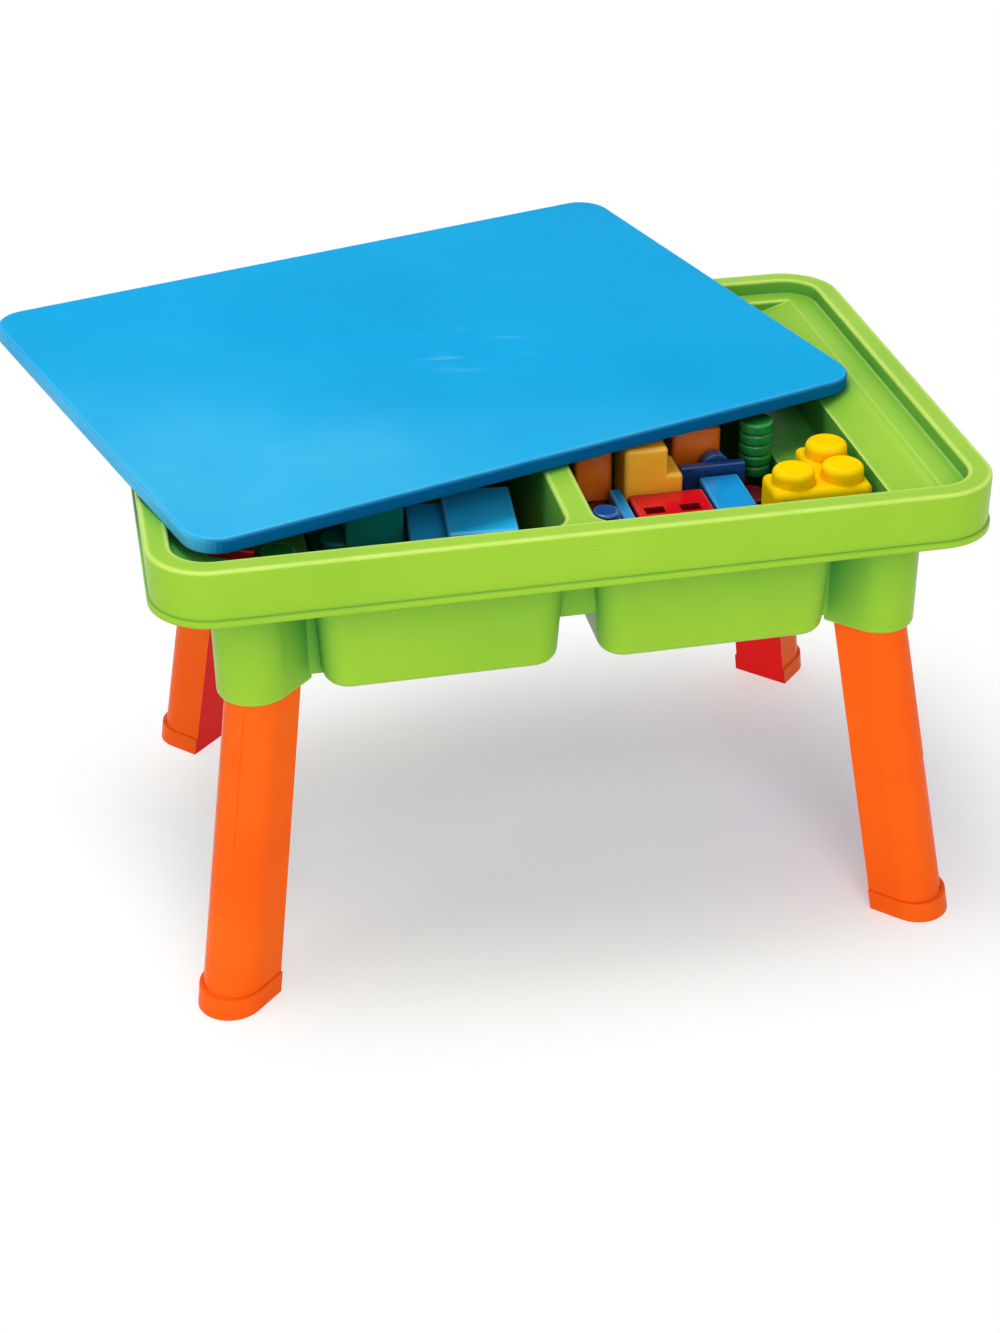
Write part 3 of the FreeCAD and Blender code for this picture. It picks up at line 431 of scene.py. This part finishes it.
def markFaces(work, node):
    marks = {"roundEdge": markRounds(work)}
    if node == "tray":
        marks["paleEdgeZone"] = markPaleEdgeZone(work)
        marks["roundEdge"] = [a * b for a, b in zip(marks["roundEdge"], marks["paleEdgeZone"])]
    if node == "lid":
        marks["paintedSideShade"], leftness = markPaintedSideShade(work)
        # the lid's left side takes a painted highlight through roundEdge
        rounds, leftHighlight = dressing["lidRound"], dressing["lidLeftHighlight"]
        marks["roundEdge"] = [max(rounds * a, leftHighlight * b) for a, b in zip(marks["roundEdge"], leftness)]
    if node.startswith(("leg_", "foot_")):
        marks["innerFlatShade"] = markInnerFlatShade(work, node)
    return marks


# the upright column: one barrel whose radius follows a row of rounded ribs
ribs = {"node": "column_green_ribbed", "count": 5, "groove": 0.16, "sides": 64, "steps": 14, "roundness": 4}


def ribTree():
    tree, given, out = newGroup(
        "ribbedColumn", "GeometryNodeTree",
        {"Radius": "Float", "Height": "Float", "Ribs": "Int", "Groove": "Float", "Foot": "Vector",
         "Finish": "Material"},
        {"Geometry": "Geometry"})
    barrel = addNode(tree, "GeometryNodeMeshCylinder")
    wire(tree, ribs["sides"], barrel.inputs["Vertices"])
    wire(tree, times(tree, given.outputs["Ribs"], ribs["steps"]), barrel.inputs["Side Segments"])
    wire(tree, given.outputs["Radius"], barrel.inputs["Radius"])
    wire(tree, given.outputs["Height"], barrel.inputs["Depth"])
    split = addNode(tree, "ShaderNodeSeparateXYZ")
    wire(tree, addNode(tree, "GeometryNodeInputPosition").outputs[0], split.inputs[0])
    # across one rib: 0 in the grooves, 1 on the crest
    risen = math2(tree, "ADD", math2(tree, "DIVIDE", split.outputs["Z"], given.outputs["Height"]), 0.5)
    across = math2(tree, "FRACT", times(tree, risen, given.outputs["Ribs"]), 0.0)
    aside = math2(tree, "ABSOLUTE", math2(tree, "SUBTRACT", times(tree, across, 2.0), 1.0), 0.0)
    crest = math2(tree, "SQRT", math2(tree, "SUBTRACT", 1.0, math2(tree, "POWER", aside, ribs["roundness"])), 0.0)
    sunk = times(tree, math2(tree, "SUBTRACT", 1.0, crest), given.outputs["Groove"])
    girth = math2(tree, "SUBTRACT", 1.0, sunk)
    joined = addNode(tree, "ShaderNodeCombineXYZ")
    wire(tree, times(tree, split.outputs["X"], girth), joined.inputs["X"])
    wire(tree, times(tree, split.outputs["Y"], girth), joined.inputs["Y"])
    wire(tree, split.outputs["Z"], joined.inputs["Z"])
    shaped, stood = addNode(tree, "GeometryNodeSetPosition"), addNode(tree, "GeometryNodeTransform")
    single, painted = addNode(tree, "GeometryNodeRealizeInstances"), addNode(tree, "GeometryNodeSetMaterial")
    wire(tree, joined.outputs[0], shaped.inputs["Position"])
    wire(tree, given.outputs["Foot"], stood.inputs["Translation"])
    wire(tree, given.outputs["Finish"], painted.inputs["Material"])
    chain = [barrel, shaped, stood, single, painted]
    for before, after in zip(chain, chain[1:]):
        wire(tree, before.outputs[0], after.inputs["Geometry"])
    wire(tree, painted.outputs[0], out.inputs["Geometry"])
    return tree


def ribbedMesh():
    low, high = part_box(ribs["node"])
    tree = ribTree()
    maker = bpy.data.objects.new("columnMaker", bpy.data.meshes.new("columnMaker"))
    bpy.context.collection.objects.link(maker)
    grow = maker.modifiers.new("ribs", "NODES")
    grow.node_group = tree
    sizes = {"Radius": (high.x - low.x) / 2, "Height": high.z - low.z, "Ribs": ribs["count"],
             "Groove": ribs["groove"], "Foot": (low + high) / 2, "Finish": finishes["toy_green"]}
    for item in tree.interface.items_tree:
        if item.in_out == "INPUT":
            grow[item.identifier] = sizes[item.name]
    mesh = bpy.data.meshes.new_from_object(maker.evaluated_get(bpy.context.evaluated_depsgraph_get()))
    maker.modifiers.remove(grow)
    bpy.data.objects.remove(maker)
    print("ribbed column:", len(mesh.polygons), "faces")
    return mesh


def evenShading(piece):
    piece.data.shade_smooth()
    piece.data.set_sharp_from_angle(angle=math.radians(dressing["sharpAngle"]))
    even = piece.modifiers.new("evenNormals", "WEIGHTED_NORMAL")
    even.keep_sharp = True
    even.weight = dressing["normalWeight"]


def dress(node):
    mesh = ribbedMesh() if node == ribs["node"] else nodes[node].data.copy()
    mesh.name = node + "_skin"
    work = bmesh.new()
    work.from_mesh(mesh)
    bmesh.ops.remove_doubles(work, verts=work.verts, dist=dressing["weld"])
    work.edges.index_update()
    work.faces.index_update()
    work.normal_update()
    marks = markFaces(work, node)
    work.to_mesh(mesh)
    work.free()
    stored = mesh.attributes.get("custom_normal")
    if stored:  # normals of the unmerged skin
        mesh.attributes.remove(stored)
    mesh.update()
    for name, values in marks.items():
        mesh.attributes.new(name, "FLOAT", "FACE").data.foreach_set("value", values)
    mesh.materials.clear()
    mesh.materials.append(finishOf.get(node, finishes[slotOf[node]]))
    piece = bpy.data.objects.new(node + "_skin", mesh)
    bpy.context.collection.objects.link(piece)
    if node.startswith("foot_"):  # blended normals streak on the caps' thin triangles
        mesh.shade_flat()
    else:
        evenShading(piece)
    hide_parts(node)
    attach(piece, bodyOf[node])
    return piece


skins = {node: dress(node) for node in nodes}
print("dressed", len(skins), "pieces")


# studio: white floor that keeps the shadow, white surround, soft lamps
studio = {"floor": 6.0, "floorColour": (250, 250, 250), "floorRoughness": 0.8, "floorLift": 0.1,
          "paintedShadowTint": (1.0, 0.72, 1.85), "shadowMiddle": (0.05, -0.02, 0.0), "shadowShape": (0.95, 1.7, 1.0),
          "fadeBand": (0.12, 0.5), "tintBand": (0.1, 0.4), "ambient": 0.42}
lamps = {"overhead": {"place": (-0.4, 0.2, 2.3), "target": (0, 0, 0.25), "size": 1.0, "power": 25},
         "left": {"place": (-2.1, -0.7, 0.5), "target": (0, 0, 0.2), "size": 1.0, "power": 8},
         "front": {"place": (0.0, -1.8, 1.5), "target": (0, 0, 0.2), "size": 1.3, "power": 13},
         "fill": {"place": (-0.1, -2.0, 0.4), "target": (0, 0, 0.2), "size": 1.4, "power": 9}}


def seenDirectly(tree):  # 1 for what the camera sees straight, mirrored or through glass
    path = addNode(tree, "ShaderNodeLightPath")
    glossy = math2(tree, "MAXIMUM", path.outputs["Is Glossy Ray"], path.outputs["Is Transmission Ray"])
    return math2(tree, "MAXIMUM", path.outputs["Is Camera Ray"], glossy)


def floorPaint():
    paint = bpy.data.materials.new("paleFloor")
    paint.use_nodes = True
    tree = paint.node_tree
    shader = nodeOf(tree, "BSDF_PRINCIPLED")
    setInputs(shader, {"Base Color": linear(studio["floorColour"]), "Roughness": studio["floorRoughness"],
                       "Specular IOR Level": 0.0})
    seen = seenDirectly(tree)
    offset = vector2(tree, "SUBTRACT", objectPlace(tree), studio["shadowMiddle"])
    spot = vector2(tree, "LENGTH", vector2(tree, "MULTIPLY", offset, studio["shadowShape"]))
    fade = mapRange(tree, spot, *studio["fadeBand"], smooth=True)
    under = mapRange(tree, spot, *studio["tintBand"])
    lift, far = addNode(tree, "ShaderNodeEmission"), addNode(tree, "ShaderNodeEmission")
    tint = mixColour(tree, under, studio["paintedShadowTint"] + (1.0,), (1, 1, 1, 1))  # painted lilac glow in the shadow under the tray, offsetting its green bounce light
    wire(tree, tint, lift.inputs["Color"])
    wire(tree, times(tree, seen, studio["floorLift"]), lift.inputs["Strength"])
    near = addNode(tree, "ShaderNodeAddShader")
    wire(tree, shader.outputs[0], near.inputs[0])
    wire(tree, lift.outputs[0], near.inputs[1])
    above = mixShader(tree, times(tree, fade, seen), near, far)
    # seen from below the floor is clear
    below = times(tree, addNode(tree, "ShaderNodeNewGeometry").outputs["Backfacing"], seen)
    sided = mixShader(tree, below, above, addNode(tree, "ShaderNodeBsdfTransparent"))
    wire(tree, sided.outputs[0], nodeOf(tree, "OUTPUT_MATERIAL").inputs["Surface"])
    return paint


def addFloor():
    half = studio["floor"]
    mesh = bpy.data.meshes.new("floor")
    mesh.from_pydata([(-half, -half, 0), (half, -half, 0), (half, half, 0), (-half, half, 0)], [], [(0, 1, 2, 3)])
    mesh.materials.append(floorPaint())
    floor = bpy.data.objects.new("floor", mesh)
    bpy.context.collection.objects.link(floor)


def addLamp(name, place, target, size, power):
    lamp = bpy.data.lights.new(name, "AREA")
    lamp.shape = "DISK"
    lamp.size = size
    lamp.energy = power
    holder = bpy.data.objects.new(name, lamp)
    bpy.context.collection.objects.link(holder)
    holder.location = place
    holder.rotation_euler = (Vector(target) - Vector(place)).to_track_quat("-Z", "Y").to_euler()


def addSky():
    world = bpy.data.worlds.new("studio")
    bpy.context.scene.world = world
    world.use_nodes = True
    tree = world.node_tree
    back = nodeOf(tree, "BACKGROUND")
    back.inputs["Color"].default_value = (1, 1, 1, 1)
    wire(tree, mapRange(tree, seenDirectly(tree), 0, 1, studio["ambient"], 1.0), back.inputs["Strength"])


addFloor()
addSky()
for name, lamp in lamps.items():
    addLamp(name, **lamp)
print("studio lit")
